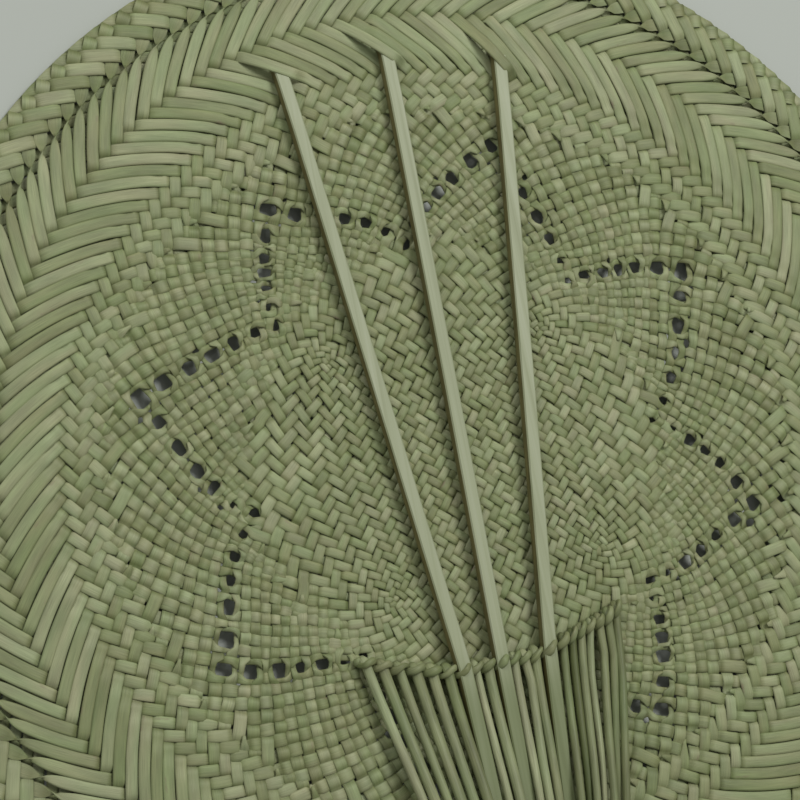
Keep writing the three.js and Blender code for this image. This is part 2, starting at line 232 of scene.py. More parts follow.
def mat_half_strips():
    """Half of each mat strip, traced outward through the straight mat and round a fold point."""
    halves = []
    height = 0j
    for strip in range(MAT_HALF):
        for _ in range(SUBSTEPS if strip else SUBSTEPS // 2):
            height += 1j * MAT_UNIT / SUBSTEPS * fold_slope(height)
        w, heading, points = height, 1 + 0j, [height]
        while abs(w) * FOLD_RADIUS < MAT_RADIUS:
            for _ in range(SUBSTEPS // POINTS_PER_STRIP):
                slope = fold_slope(w)
                turns = [slope * 1j ** k for k in range(4)]
                slope = min(turns, key=lambda t: abs(t / abs(t) - heading))
                heading = slope / abs(slope)
                w += slope * MAT_UNIT / SUBSTEPS
            points.append(w)
        halves.append(np.array(points) * FOLD_RADIUS)
    return halves


def crossings_of_half(count, strip):
    """Places, counted in points, and sides of the crossings along half a mat strip: two over, two under."""
    across = np.arange(0.5, count / POINTS_PER_STRIP, 1.0)
    ring = across + strip + 0.5
    right_over = (ring.astype(int) % 4) >= 2
    return across * POINTS_PER_STRIP, np.where(right_over, 1.0, -1.0)


def wrap(angle):
    return (angle + math.pi) % math.tau - math.pi


class Family:
    """The outer runs of one family of strips: where each is at every radius of the grid."""

    def __init__(self, side, exit_angles):
        self.side = side
        star_pitch = math.tau / STAR_STRIPS
        rim_pitch = math.tau / RIM_STRIPS
        zero = STAR_TURN - side * math.pi * STAR_OUTER_RING / STAR_STRIPS
        order = np.argsort(exit_angles)
        exits = np.unwrap(exit_angles[order])
        first = round((exits[0] - zero) / star_pitch - 0.5)
        groups = [divmod(rank, len(MAT_KEPT)) for rank in range(len(exits))]
        mat_slots = [first + MAT_GROUP * group + MAT_KEPT[place] for group, place in groups]
        curves, starts, mat = [], [], []
        for slot in range(first, first + STAR_STRIPS):
            star_angle = zero + (slot + 0.5) * star_pitch
            rim_angle = zero + self.rim_place(slot) * rim_pitch
            curve = star_angle + (rim_angle - star_angle) * smooth(GRID, SPREAD_FROM, SPREAD_TO)
            if slot in mat_slots:
                rank = mat_slots.index(slot)
                settle = smooth(GRID, MAT_RADIUS, MAT_RADIUS + MAT_SETTLE)
                curve = curve + wrap(exits[rank] - star_angle) * (1 - settle)
                starts.append(0.0)
                mat.append(order[rank])
            else:
                starts.append(MAT_RADIUS + 0.2 + 2.5 * RNG.random())
                mat.append(-1)
            curves.append(curve)
        for group in range(RIM_STRIPS // RIM_GROUP):
            for extra in RIM_ADDED:
                place = RIM_GROUP * group + extra + 0.5
                curves.append(np.full_like(GRID, zero + place * rim_pitch))
                starts.append(ADD_RADIUS - 0.5 + 1.5 * RNG.random())
                mat.append(-1)
        self.angles = np.array(curves) + side * TURN
        self.starts = np.array(starts)
        self.mat = np.array(mat)

    @staticmethod
    def rim_place(slot):
        group, place = divmod(slot, len(RIM_KEPT))
        return RIM_GROUP * group + RIM_KEPT[place] + 0.5


def find_crossings(left, right):
    """Every crossing of the two families outside the mat, as strip, strip and radius."""
    found = []
    for i, curve in enumerate(left.angles):
        gap = wrap(curve[None, :] - right.angles)
        change = (gap[:, :-1] * gap[:, 1:] < 0) & (np.abs(gap[:, :-1]) < 1)
        j, k = np.nonzero(change)
        share = gap[j, k] / (gap[j, k] - gap[j, k + 1])
        radius = GRID[k] + share * STEP
        keep = (radius > left.starts[i]) & (radius > right.starts[j])
        found.append(np.stack([np.full(keep.sum(), i), j[keep], radius[keep]], axis=1))
    return np.concatenate(found)


def settle_sides(crossings):
    """Adds which family is on top at each crossing, and breaks up runs of three inside the chevrons."""
    over = left_family_over(crossings[:, 2])
    for column in (0, 1, 0, 1):
        for index in np.unique(crossings[:, column]):
            rows = np.nonzero((crossings[:, column] == index) & (crossings[:, 2] < BAND_RADIUS - 2))[0]
            rows = rows[np.argsort(crossings[rows, 2])]
            for a, b, c in zip(rows, rows[1:], rows[2:]):
                if over[a] == over[b] == over[c]:
                    over[b] = not over[b]
    return np.concatenate([crossings, over[:, None]], axis=1)


def middle_height(r):
    return PANEL_Z + (RIM_Z - PANEL_Z) * smooth(r, BAND_RADIUS - 6, TWIST_RADIUS + 3)


COUNT_RADII = (47, 55, 78, 88)  # the count of strips rises between the first two and the last two


def strip_spacing(r):
    lean = np.interp(r, GRID, LEAN)
    counts = (4 * MAT_HALF, STAR_STRIPS, STAR_STRIPS, RIM_STRIPS)
    strips = np.interp(r, COUNT_RADII, counts)
    return math.tau * r / strips * np.cos(lean)


def rib_line(rib):
    top_x = RIB_TOP_X[rib]
    band_y = math.sqrt(BAND_RADIUS ** 2 - top_x ** 2)
    twine_x = RIB_TWINE_X[rib]
    start = np.array([twine_x, twine_y(twine_x)])
    return start, np.array([top_x, band_y])


def twine_y(x):
    return TWINE_LOW_Y + TWINE_RISE * ((x - TWINE_MID_X) / TWINE_REACH) ** 2


def clear_of_ribs(points, z, level):
    """Takes a strip over a splint's end, or under the splint, wherever the two cross near the chevrons."""
    run = run_along(points)
    outward = np.sign(np.gradient(radius_of(points)))
    for rib in range(3):
        start, band = rib_line(rib)
        along = (band - start) / np.linalg.norm(band - start)
        offset = points - band
        aside = offset @ np.array([-along[1], along[0]])
        forward = offset @ along
        near = (forward[:-1] > -RIB_SETTLE - 6) & (forward[:-1] < RIB_TUCK + 4)
        for k in np.nonzero((aside[:-1] * aside[1:] <= 0) & near)[0]:
            place = forward[k]
            foot = np.interp(place, (-RIB_SETTLE, 0.0, RIB_TUCK), RIB_FEET)
            away = (run - run[k]) * outward[k]
            if place > RIB_SHOWS[rib] and level[k] > -0.3:
                high = RIB_THICK if place < RIB_REACH[rib] + 2.6 else RIB_TIP_THICK
                outer = smooth(away, OVER_HOLD, OVER_HOLD + OVER_SLOPE * high)
                inner = smooth(-away, OVER_HOLD, OVER_INNER)
                over = (1 - np.where(away > 0, outer, inner)) * smooth(level, -0.6, 0.2)
                z = z + over * np.maximum(foot + high + RIB_CLEAR - z, 0)
                if high == RIB_THICK:
                    points = points - OVER_PULL * over[:, None] * along
            else:
                under = 1 - smooth(np.abs(away), *UNDER_EASE)
                z = z - under * np.maximum(z - (foot - STRIP_THICK - RIB_CLEAR), 0)
    return points, z


class Strip:
    """One palm strip: its middle line with widths and over-and-under places."""

    def __init__(self):
        self.points, self.width, self.places, self.sides = [], [], [], []
        self.tail = 0.0
        self.right = None

    def add(self, points, width, places, sides):
        base = sum(len(run) for run in self.points)
        self.points.append(points)
        self.width.append(width)
        self.places.append(np.asarray(places) + base)
        self.sides.append(sides)

    def shape(self):
        points = np.concatenate(self.points)
        width = np.concatenate(self.width)
        places = np.concatenate(self.places)
        sides = np.concatenate(self.sides)
        order = np.argsort(places)
        level = np.interp(np.arange(len(points)), places[order], sides[order])
        level = np.sin(0.5 * math.pi * np.clip(FLOAT_STRETCH * level, -1, 1))
        return points, width, level


def fill_at(r):
    """Share of the spacing that a strip takes at a radius outside the mat."""
    fill = np.full_like(r, STRIP_FILL)
    for low, high, change in FILL_STEPS:
        fill = fill + change * smooth(r, low, high)
    low, full, last, gone, change = FILL_TWILL
    fill = fill + change * smooth(r, low, full) * (1 - smooth(r, last, gone))
    radius, reach, change = FILL_MAT_EDGE
    return fill + change * np.exp(-((r - radius) / reach) ** 2)


def outer_run(family, index, crossings, column):
    """Points, widths and crossings of one strip from the mat's edge, or its own start, to the rim."""
    angles = family.angles[index]
    start = max(family.starts[index], MAT_RADIUS)
    first = int(np.searchsorted(GRID, start))
    r = GRID[first:]
    width = np.minimum(fill_at(r) * strip_spacing(r), STRIP_WIDTH)
    if family.mat[index] < 0:
        width = width * (START_WIDTH + (1 - START_WIDTH) * smooth(r, start, start + START_WAY))
    mine = crossings[crossings[:, column] == index]
    sides = np.where((mine[:, 3] > 0.5) == (family.side > 0), 1.0, -1.0)
    places = (mine[:, 2] - GRID[first]) / STEP
    order = np.argsort(places)
    return polar(r, angles[first:]), width, places[order], sides[order]


def backwards(points, width, places, sides):
    return points[::-1], width[::-1], len(points) - 1 - places[::-1], sides[::-1]


def build_strips():
    """All strips of both families: those through the mat, from rim to rim, and those added outside it."""
    halves = mat_half_strips()
    axis = np.exp(1j * (STAR_TURN + math.pi / 8))
    traced = []
    for quarter in range(2):
        for strip, half in enumerate(halves):
            for flip in (1, -1):
                right = half if flip > 0 else np.conj(half)
                left = -np.conj(right)
                spin = axis * 1j ** quarter
                traced.append((strip, flip, right * spin, left * spin))
    # The right half of a strip above the middle turns right on its way out, and its left half turns left.
    exits = {1: [], -1: []}
    for number, (_, flip, right, left) in enumerate(traced):
        exits[-flip].append((np.angle(right[-1]), number, 0))
        exits[flip].append((np.angle(left[-1]), number, 1))
    families = {s: Family(s, np.array([e[0] for e in exits[s]])) for s in (1, -1)}
    crossings = settle_sides(find_crossings(families[1], families[-1]))
    runs = {}
    strips = []
    for side, family in families.items():
        column = 0 if side > 0 else 1
        for index in range(len(family.angles)):
            run = outer_run(family, index, crossings, column)
            if family.mat[index] >= 0:
                _, number, half = exits[side][family.mat[index]]
                runs[number, half] = run
            else:
                strip = Strip()
                strip.add(*run)
                strip.tail = 1.0 if side > 0 else -1.0
                strip.right = side < 0
                strips.append(strip)
    spacing = MAT_UNIT * FOLD_RADIUS
    for number, (row, flip, right, left) in enumerate(traced):
        strip = Strip()
        strip.right = number >= len(traced) // 2
        for half, path in ((1, left), (0, right)):
            places, sides = crossings_of_half(len(path), row)
            if (half == 0) != (flip > 0):
                sides = -sides
            squeeze = np.abs(fold_slope(path / axis / FOLD_RADIUS))
            width = np.minimum(STRIP_FILL * spacing * np.maximum(squeeze, MAT_NARROWEST), STRIP_WIDTH)
            flat = np.stack([path.real, path.imag], axis=1)
            mat = (flat[1:-1], width[1:-1], places - 1, sides)
            if half:
                strip.add(*backwards(*runs[number, half]))
                strip.add(*backwards(*mat))
            else:
                strip.add(*mat)
                strip.add(*runs[number, half])
        strips.append(strip)
    return strips


def eyelets():
    """The star's holes, between strips of both families: centres, half widths, and shifts to even spacing."""
    centres, sizes, shifts = [], [], []

    def place(tip, side, inward):
        r = star_ring_radius(STAR_OUTER_RING - inward)
        return polar(r, STAR_TURN + tip * math.pi / 4 + side * inward * STAR_PITCH)

    last = HOLE_STEPS[-1]
    for tip in range(8):
        for side in (-1, 1):
            for count, inward in enumerate(HOLE_STEPS):
                if side > 0 and inward in (0, last):
                    continue
                here = place(tip, side, inward)
                even = place(tip, side, last * count / (len(HOLE_STEPS) - 1))
                strip = strip_spacing(np.hypot(*here))
                centres.append(here)
                shifts.append(even - here)
                sizes.append(HOLE_HALF * strip * RNG.uniform(0.75, 1.3, 2))
                if 0 < inward < last and RNG.random() < COMPANION_SHARE:
                    outer = star_ring_radius(STAR_OUTER_RING - inward + 2)
                    centres.append(here * outer / np.hypot(*here))
                    shifts.append(even - here)
                    sizes.append(HOLE_HALF * strip * RNG.uniform(0.15, 0.6, 2))
    return np.array(centres), np.array(sizes), np.array(shifts)


def star_corners():
    """The regular star's tips and inner corners, with how far the hand-made star departs from each."""
    angles = STAR_TURN + np.arange(8) * math.pi / 4
    tips = polar(star_ring_radius(STAR_OUTER_RING), angles)
    corners = polar(star_ring_radius(STAR_INNER_RING), angles + math.pi / 8)
    return np.concatenate([tips, corners]), np.array(TIP_NUDGE + CORNER_NUDGE)


CORNERS, NUDGES = star_corners()


def hand_made(points):
    """How far the plait is drawn aside near the star, fading out before the chevrons."""
    mean = NUDGES.mean(axis=0)
    distance = np.linalg.norm(points[:, None, :] - CORNERS[None, :, :], axis=2)
    near = np.exp(-(distance / NUDGE_REACH) ** 2)
    shift = mean + near @ (NUDGES - mean) / (near.sum(axis=1) + FAR_WEIGHT)[:, None]
    r = radius_of(points)
    return shift * (1 - smooth(r, *NUDGE_FADE))[:, None]


PLAIN_HOLES, HOLE_SIZES, HOLE_SHIFTS = eyelets()


def evened(points):
    """How far the strips are drawn along the star's sides to space its holes evenly."""
    shift = np.zeros_like(points)
    r = radius_of(points)
    rows = np.nonzero((r > EVEN_ZONE[0]) & (r < EVEN_ZONE[1]))[0]
    distance = np.linalg.norm(points[rows, None, :] - PLAIN_HOLES[None, :, :], axis=2)
    near = np.exp(-(distance / EVEN_REACH) ** 2)
    shift[rows] = near @ HOLE_SHIFTS / (near.sum(axis=1) + FAR_WEIGHT)[:, None]
    return shift


HOLES = PLAIN_HOLES + evened(PLAIN_HOLES) + hand_made(PLAIN_HOLES)


def part_round_holes(points, along, across, lateral):
    """How far each point of a strip moves aside to leave the holes open, by its place across the strip."""
    shift = np.zeros_like(lateral)
    r = radius_of(points)
    rows = np.nonzero((r > HOLE_ZONE[0]) & (r < HOLE_ZONE[1]))[0]
    turns_left = np.sum(points * across, axis=1) * np.sum(points * along, axis=1) < 0
    offset = points[rows, None, :] - HOLES[None, :, :]
    hole_rows, holes = np.nonzero(np.abs(offset).max(axis=2) < HOLE_BOX)
    for row, hole in zip(hole_rows, holes):
        away = offset[row, hole]
        k = rows[row]
        size, length = HOLE_SIZES[hole] if turns_left[k] else HOLE_SIZES[hole][::-1]
        forward = away @ along[k]
        aside = away @ across[k]
        opening = size * math.exp(-(forward / (1.5 * length)) ** 6)
        side = 1.0 if aside > 0 else -1.0
        reach = np.maximum(side * (aside + lateral[k]), 0.0)
        shift[k] += side * opening * (1 - smooth(reach, 0.0, HOLE_REACH))
    return shift


# A strip's section: place across (-1 to 1) and height, in shares of the half width and the thickness.
SECTION = (
    (-1.0, 0.0), (-0.94, 0.4), (-0.6, 0.84), (0.0, 1.1),
    (0.6, 0.84), (0.94, 0.4), (1.0, 0.0), (0.0, -0.1),
)
SECTION_EDGES = (0, 6)


def strip_mesh_data(strip):
    points, width, level = strip.shape()
    r = radius_of(points)
    knots = np.arange(0, len(points) + WOBBLE_KNOT, WOBBLE_KNOT)
    wobble = np.interp(np.arange(len(points)), knots, RNG.normal(0, WOBBLE, len(knots)))
    points = points + evened(points) + hand_made(points)
    along = unit(np.gradient(points, axis=0))
    across = np.stack([-along[:, 1], along[:, 0]], axis=1)
    loose = 1 + LOOSE * (1 - smooth(r, *LOOSE_TO))
    wobble = (wobble + RNG.normal(0, STRAY)) * loose
    points = points + across * wobble[:, None]
    in_rim = smooth(r, TWIST_RADIUS - 1, TWIST_RADIUS + 1)
    in_band = smooth(r, BAND_RADIUS - 1.5, BAND_RADIUS + 1) * (1 - in_rim)
    lift = LIFT + STAR_LIFT * smooth(r, *STAR_LIFT_FROM) * (1 - smooth(r, *STAR_LIFT_TO))
    up = lift + in_band * (BAND_LIFT - lift) + in_rim * RIM_LIFT_UP
    down = lift + in_rim * RIM_LIFT_DOWN
    z = middle_height(r) + np.where(level > 0, up * level, down * level)
    points, z = clear_of_ribs(points, z, level)
    if strip.tail:
        begin = np.exp(-(np.arange(len(points)) / 6.0) ** 2)
        z += strip.tail * TAIL_LIFT * begin
    z -= smooth(r, DISC_RADIUS - 2.2, DISC_RADIUS + 1.6) * np.where(level > 0, EDGE_FOLD_UP, EDGE_FOLD_DOWN)
    z -= np.where(level < 0, TWIST_DROP_DOWN, TWIST_DROP_UP) * np.exp(-((r - TWIST_RADIUS) / 1.8) ** 2)
    narrow = np.where(level < 0, TWIST_NARROW, 0) * np.exp(-((r - TWIST_RADIUS) / 1.5) ** 2)
    width = width * (1 - narrow)
    # Strips that are on top just outside the spine turn over once before the rim.
    on_top = (level > 0) & (r > SPINE_RADIUS + 2) & (r < TWIST_RADIUS - 1)
    twist = np.zeros(len(points))
    pinch = np.ones(len(points))
    for end in runs_to_rim(r, on_top):
        twist[end] = math.pi * smooth(r[end], TWIST_RADIUS - 2.0, TWIST_RADIUS + 0.9)
        past = r[end] - TWIST_RADIUS + 0.3
        z[end] -= TURNED_DROP * np.exp(-((past - 1.3) / 1.2) ** 2)
        pinch[end] = 1 - PINCH * np.exp(-(past / np.where(past < 0, 2.0, 0.9)) ** 2)
    width = width * pinch * RNG.uniform(0.95, 1.0)
    verts = np.empty((len(points), len(SECTION), 3))
    uv = np.empty((len(points), len(SECTION), 2))
    run = run_along(points)
    flat_share = np.maximum(in_band, in_rim)
    lateral = 0.5 * width[:, None] * np.array([place for place, _ in SECTION])
    lateral = lateral + part_round_holes(points, along, across, lateral)
    for k, (place, high) in enumerate(SECTION):
        side = lateral[:, k]
        rise = STRIP_THICK * (high + flat_share * DISH * place ** 2 * (high > 0.1))
        flat = side * np.cos(twist) - rise * np.sin(twist)
        stand = TURN_RISE * side * np.sin(twist) + rise * np.cos(twist)
        verts[:, k, :2] = points + across * flat[:, None]
        verts[:, k, 2] = z + stand + 0.5 * STRIP_THICK * (1 - np.cos(twist))
        uv[:, k, 0] = place
        uv[:, k, 1] = run
    # The folded edge: whatever would pass the rim stops on it.
    reach = np.hypot(verts[..., 0], verts[..., 1])
    verts[..., :2] *= np.minimum(1.0, DISC_RADIUS / reach)[..., None]
    # Painted shade: the parts that bend down between two crossings are coloured darker, and so is the turned
    # part.
    bend_shade = 1 - smooth(np.abs(level), 0.1, 0.85)
    turn_shade = np.exp(-((r - TWIST_RADIUS - 0.7) / 1.3) ** 2)
    painted_dip_shade = np.repeat(np.maximum(bend_shade, turn_shade), len(SECTION))
    return verts, uv, painted_dip_shade


def runs_to_rim(r, on_top):
    """Slices of a strip that lie between the spine and the rim at either end, if on top there."""
    slices = []
    half = len(r) // 2
    inner = r > SPINE_RADIUS
    if r[0] > SPINE_RADIUS and on_top[:half].any():
        stop = int(np.argmin(inner))
        slices.append(slice(0, stop))
    if r[-1] > SPINE_RADIUS and on_top[half:].any():
        start = len(r) - int(np.argmin(inner[::-1]))
        slices.append(slice(start, len(r)))
    return slices


def add_object(name, data):
    obj = bpy.data.objects.new(name, data)
    bpy.context.scene.collection.objects.link(obj)
    return obj


def mesh_object(name, verts, faces, uv, tone, look, crease=()):
    """A piece made of quads, with texture coordinates along the strip and a tone for each point."""
    mesh = bpy.data.meshes.new(name)
    mesh.vertices.add(len(verts))
    mesh.vertices.foreach_set("co", ((verts + DISC_CENTRE) * MM).astype(np.float32).ravel())
    loops = faces.ravel()
    mesh.loops.add(len(loops))
    mesh.loops.foreach_set("vertex_index", loops.astype(np.int32))
    mesh.polygons.add(len(faces))
    mesh.polygons.foreach_set("loop_start", np.arange(0, len(loops), 4, dtype=np.int32))
    mesh.polygons.foreach_set("use_smooth", np.ones(len(faces), dtype=bool))
    layer = mesh.uv_layers.new(name="strip")
    layer.data.foreach_set("uv", uv[loops].astype(np.float32).ravel())
    mesh.attributes.new("tone", "FLOAT", "POINT").data.foreach_set("value", tone.astype(np.float32))
    mesh.update(calc_edges=True)
    mesh.validate()
    if crease:
        pairs = np.empty(2 * len(mesh.edges), dtype=np.int32)
        mesh.edges.foreach_get("vertices", pairs)
        pairs = pairs.reshape(-1, 2) % len(SECTION)
        sharp = (pairs[:, 0] == pairs[:, 1]) & np.isin(pairs[:, 0], crease)
        mesh.attributes.new("sharp_edge", "BOOLEAN", "EDGE").data.foreach_set("value", sharp)
    obj = add_object(name, mesh)
    mesh.materials.append(look)
    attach(obj, "root")
    return obj


def ribbon_faces(rows, sides, base):
    """Quads round a run of sections, with both ends closed."""
    first = np.arange(rows - 1)[:, None] * sides
    a = first + np.arange(sides)
    b = first + (np.arange(sides) + 1) % sides
    round_it = np.stack([a, b, b + sides, a + sides], axis=2).reshape(-1, 4)
    last = (rows - 1) * sides
    caps = []
    for k in range(1, sides - 1, 2):
        corner = [0, k, k + 1, (k + 2) % sides]
        caps.append(corner[::-1])
        caps.append([last + c for c in corner])
    return np.concatenate([round_it, np.array(caps)]) + base


def weave_leaf(look):
    """The leaf as two pieces, each with the mat's strips of one direction and half of the added ones."""
    strips = build_strips()
    pieces = []
    for right, name in ((False, "weave_leaf_a"), (True, "weave_leaf_b")):
        verts, uvs, faces, tones, painted_dip_shades, base = [], [], [], [], [], 0
        for strip in strips:
            if strip.right != right:
                continue
            v, uv, painted_dip_shade = strip_mesh_data(strip)
            rows, sides = v.shape[:2]
            verts.append(v.reshape(-1, 3))
            uvs.append(uv.reshape(-1, 2) + np.array([0.0, RNG.uniform(0, 900)]))
            tones.append(np.full(rows * sides, RNG.random()))
            painted_dip_shades.append(painted_dip_shade)
            faces.append(ribbon_faces(rows, sides, base))
            base += rows * sides
        piece = mesh_object(name, np.concatenate(verts), np.concatenate(faces), np.concatenate(uvs),
                            np.concatenate(tones), look, crease=SECTION_EDGES)
        # Painted shade: how much darker each point is coloured where its strip bends down or turns over.
        shade = piece.data.attributes.new("painted_dip_shade", "FLOAT", "POINT")
        shade.data.foreach_set("value", np.concatenate(painted_dip_shades).astype(np.float32))
        pieces.append(piece)
    return pieces


def srgb(red, green, blue):
    """A colour given in 0 to 255 display values, as the shader takes it."""
    linear = []
    for value in (red / 255, green / 255, blue / 255):
        linear.append(value / 12.92 if value <= 0.04045 else ((value + 0.055) / 1.055) ** 2.4)
    return (*linear, 1.0)


def grey(value):
    return (value, value, value, 1.0)


class Look:
    """A node material, built from the shader backwards."""

    def __init__(self, name, roughness, specular=0.35):
        self.material = bpy.data.materials.new(name)
        self.material.use_nodes = True
        self.nodes = self.material.node_tree.nodes
        self.links = self.material.node_tree.links
        self.shader = self.nodes["Principled BSDF"]
        self.shader.inputs["Roughness"].default_value = roughness
        self.shader.inputs["Specular IOR Level"].default_value = specular

    def add(self, kind, **values):
        node = self.nodes.new(kind)
        for key, value in values.items():
            setattr(node, key, value)
        return node

    def link(self, a, b):
        self.links.new(a, b)

    def coordinates(self, kind, scale):
        """Texture coordinates, stretched."""
        if kind == "strip":
            source = self.add("ShaderNodeUVMap", uv_map="strip").outputs["UV"]
        else:
            source = self.add("ShaderNodeTexCoord").outputs["Object"]
        mapping = self.add("ShaderNodeMapping")
        mapping.inputs["Scale"].default_value = scale
        self.link(source, mapping.inputs["Vector"])
        return mapping.outputs["Vector"]

    def part(self, vector, axis):
        node = self.add("ShaderNodeSeparateXYZ")
        self.link(vector, node.inputs["Vector"])
        return node.outputs[axis]

    def noise(self, kind, stretch, scale, detail):
        noise = self.add("ShaderNodeTexNoise")
        noise.inputs["Scale"].default_value = scale
        noise.inputs["Detail"].default_value = detail
        self.link(self.coordinates(kind, stretch), noise.inputs["Vector"])
        return noise.outputs["Fac"]

    def ramp(self, factor, *stops):
        ramp = self.add("ShaderNodeValToRGB")
        elements = ramp.color_ramp.elements
        while len(elements) < len(stops):
            elements.new(0.5)
        for element, (place, colour) in zip(elements, stops):
            element.position = place
            element.color = colour
        self.link(factor, ramp.inputs["Fac"])
        return ramp.outputs["Color"]

    def mix(self, kind, factor, a, b):
        mix = self.add("ShaderNodeMix", data_type="RGBA", blend_type=kind)
        if isinstance(factor, float):
            mix.inputs["Factor"].default_value = factor
        else:
            self.link(factor, mix.inputs["Factor"])
        for value, socket in ((a, mix.inputs["A"]), (b, mix.inputs["B"])):
            if isinstance(value, tuple):
                socket.default_value = value
            else:
                self.link(value, socket)
        return mix.outputs["Result"]

    def colour(self, output):
        self.link(output, self.shader.inputs["Base Color"])

    def bump(self, output, strength, distance):
        bump = self.add("ShaderNodeBump")
        bump.inputs["Strength"].default_value = strength
        bump.inputs["Distance"].default_value = distance
        self.link(output, bump.inputs["Height"])
        self.link(bump.outputs["Normal"], self.shader.inputs["Normal"])


# Palm strips dry a little greener or a little redder along their length.
COOL_TINT = (0.945, 1.01, 0.955, 1.0)
WARM_TINT = (1.055, 0.99, 1.035, 1.0)
STAIN = srgb(132, 116, 96)
# Painted shade for the parts of a strip that bend down or turn over.
DIP_SHADE = srgb(206, 208, 188)


def palm_look(name, dark, middle, pale):
    """Dried palm strip: each strip its own green, with fibres, patches and stains, and painted shade at its
    edges, where it bends down and where it turns over.
    """
    look = Look(name, roughness=0.5)
    tone = look.add("ShaderNodeAttribute", attribute_name="tone").outputs["Fac"]
    green = look.ramp(tone, (0.0, dark), (0.5, middle), (1.0, pale))
    fibre = look.noise("strip", (9.0, 0.10, 1.0), 1.6, 3.0)
    green = look.mix("MULTIPLY", 1.0, green, look.ramp(fibre, (0.25, grey(0.72)), (0.7, grey(1.08))))
    patch = look.noise("strip", (0.4, 0.06, 1.0), 1.0, 2.0)
    green = look.mix("MULTIPLY", 1.0, green, look.ramp(patch, (0.3, grey(0.8)), (0.65, grey(1.1))))
    warmth = look.noise("strip", (0.3, 0.045, 1.0), 1.0, 2.0)
    green = look.mix("MULTIPLY", 1.0, green, look.ramp(warmth, (0.35, COOL_TINT), (0.65, WARM_TINT)))
    stain = look.noise("strip", (0.5, 0.11, 1.0), 1.3, 3.0)
    stain = look.ramp(stain, (0.69, grey(0.0)), (0.80, grey(0.7)))
    green = look.mix("MIX", stain, green, STAIN)
    # Painted shade: darker towards the strip's long edges.
    edge_shade = look.add("ShaderNodeMath", operation="ABSOLUTE")
    look.link(look.part(look.coordinates("strip", (1.0, 1.0, 1.0)), "X"), edge_shade.inputs[0])
    edge_shade = look.ramp(edge_shade.outputs["Value"], (0.84, grey(1.0)), (1.0, grey(0.78)))
    green = look.mix("MULTIPLY", 1.0, green, edge_shade)
    # Painted shade: darker where a weave strip bends down between crossings and where it turns over.
    painted_dip_shade = look.add("ShaderNodeAttribute", attribute_name="painted_dip_shade").outputs["Fac"]
    painted_dip_shade = look.ramp(painted_dip_shade, (0.0, grey(1.0)), (1.0, DIP_SHADE))
    look.colour(look.mix("MULTIPLY", 1.0, green, painted_dip_shade))
    look.bump(fibre, 0.35, 0.00025)
    return look.material


def bamboo_look(name):
    """Split bamboo: pale cut faces with long fibres, and a darker skin on the flanks."""
    look = Look(name, roughness=0.45)
    fibre = look.noise("object", (900.0, 14.0, 900.0), 1.0, 3.0)
    dark, middle, light = srgb(141, 148, 111), srgb(158, 165, 130), srgb(168, 174, 143)
    pale = look.ramp(fibre, (0.25, dark), (0.5, middle), (0.75, light))
    skin = look.ramp(fibre, (0.3, srgb(99, 93, 59)), (0.7, srgb(135, 127, 84)))
    upward = look.part(look.add("ShaderNodeTexCoord").outputs["Normal"], "Z")
    flank = look.ramp(upward, (0.35, grey(1.0)), (0.6, grey(0.0)))
    # Darker below the twine, among the strands.
    place = look.part(look.coordinates("object", (1.0, 1.0, 1.0)), "Y")
    below = look.ramp(place, (0.010, srgb(200, 206, 184)), (0.022, grey(1.0)))
    look.colour(look.mix("MULTIPLY", 1.0, look.mix("MIX", flank, pale, skin), below))
    look.bump(fibre, 0.25, 0.0002)
    return look.material


def sweep(path, offsets, reference):
    """A tube with a changing section: offsets gives, at each point, places along side and up."""
    along = unit(np.gradient(path, axis=0))
    side = unit(np.cross(along, np.asarray(reference, float)))
    up = np.cross(side, along)
    verts = path[:, None, :] + offsets[..., :1] * side[:, None, :] + offsets[..., 1:] * up[:, None, :]
    return verts, run_along(path)


def tube_object(name, path, offsets, reference, look, tone):
    verts, run = sweep(path, offsets, reference)
    rows, sides = verts.shape[:2]
    uv = np.empty((rows, sides, 2))
    uv[..., 0] = np.linspace(-0.7, 0.7, sides)
    uv[..., 1] = run[:, None] + RNG.uniform(0, 500)
    faces = ribbon_faces(rows, sides, 0)
    return mesh_object(name, verts.reshape(-1, 3), faces, uv.reshape(-1, 2),
                       np.full(rows * sides, tone), look)


def base_height(y):
    """Height of the lower layer's underside, from the twine over the rim to the handle's neck."""
    distances = (-TWINE_LOW_Y, BAND_RADIUS, -NECK_Y)
    return np.interp(-np.asarray(y), distances, (TWINE_BASE, BAND_BASE, NECK_BASE))


STRAND_X = np.concatenate([np.linspace(a, b, n) for a, b, n in STRAND_ROWS])
STRAND_FLAT = np.repeat((1.26, 1.16, 1.11, 1.03), [n for _, _, n in STRAND_ROWS])
# Creased strands: how far along the crease is, as a share of the length, and how far it stands aside.
STRAND_KINKS = {9: (0.05, 0.8), 14: (0.09, -0.5), 15: (0.06, 0.9), 16: (0.075, 1.1), 17: (0.12, 0.9)}
KINK_FADE = 0.16  # share of the length in which a crease fades out below it
STRAND_POINTS = 44  # points of a strand between the twine and the neck
STRAND_CROWD = 1.3  # above 1, these points lie closer together near the twine
HANDLE_POINTS = 24  # points of a strand in the handle
STRAND_SIDES = 14  # points round a strand
STRAND_SWING = 0.25  # spread of a strand's bow to the side
HEAD_DIP = (1.5, 0.6)  # how far the first two points, past the twine, bend down
HEAD_TAPER = 0.7  # share of the radius at the first point
LAP_OUT, LAP_STEP = 1.04, 0.16  # radius at a rolled strand's outer edge and its fall round the strand
LAP_DRIFT = 0.02  # spread of the lapped edge's winding, in radians to a point
ROUGHNESS = 0.012  # spread of the radius from point to point
FLAT_SPREAD = (0.85, 1.1)  # spread of how flat the strands are
FLAT_TO = (30, 46)  # points between which a flat strand becomes round


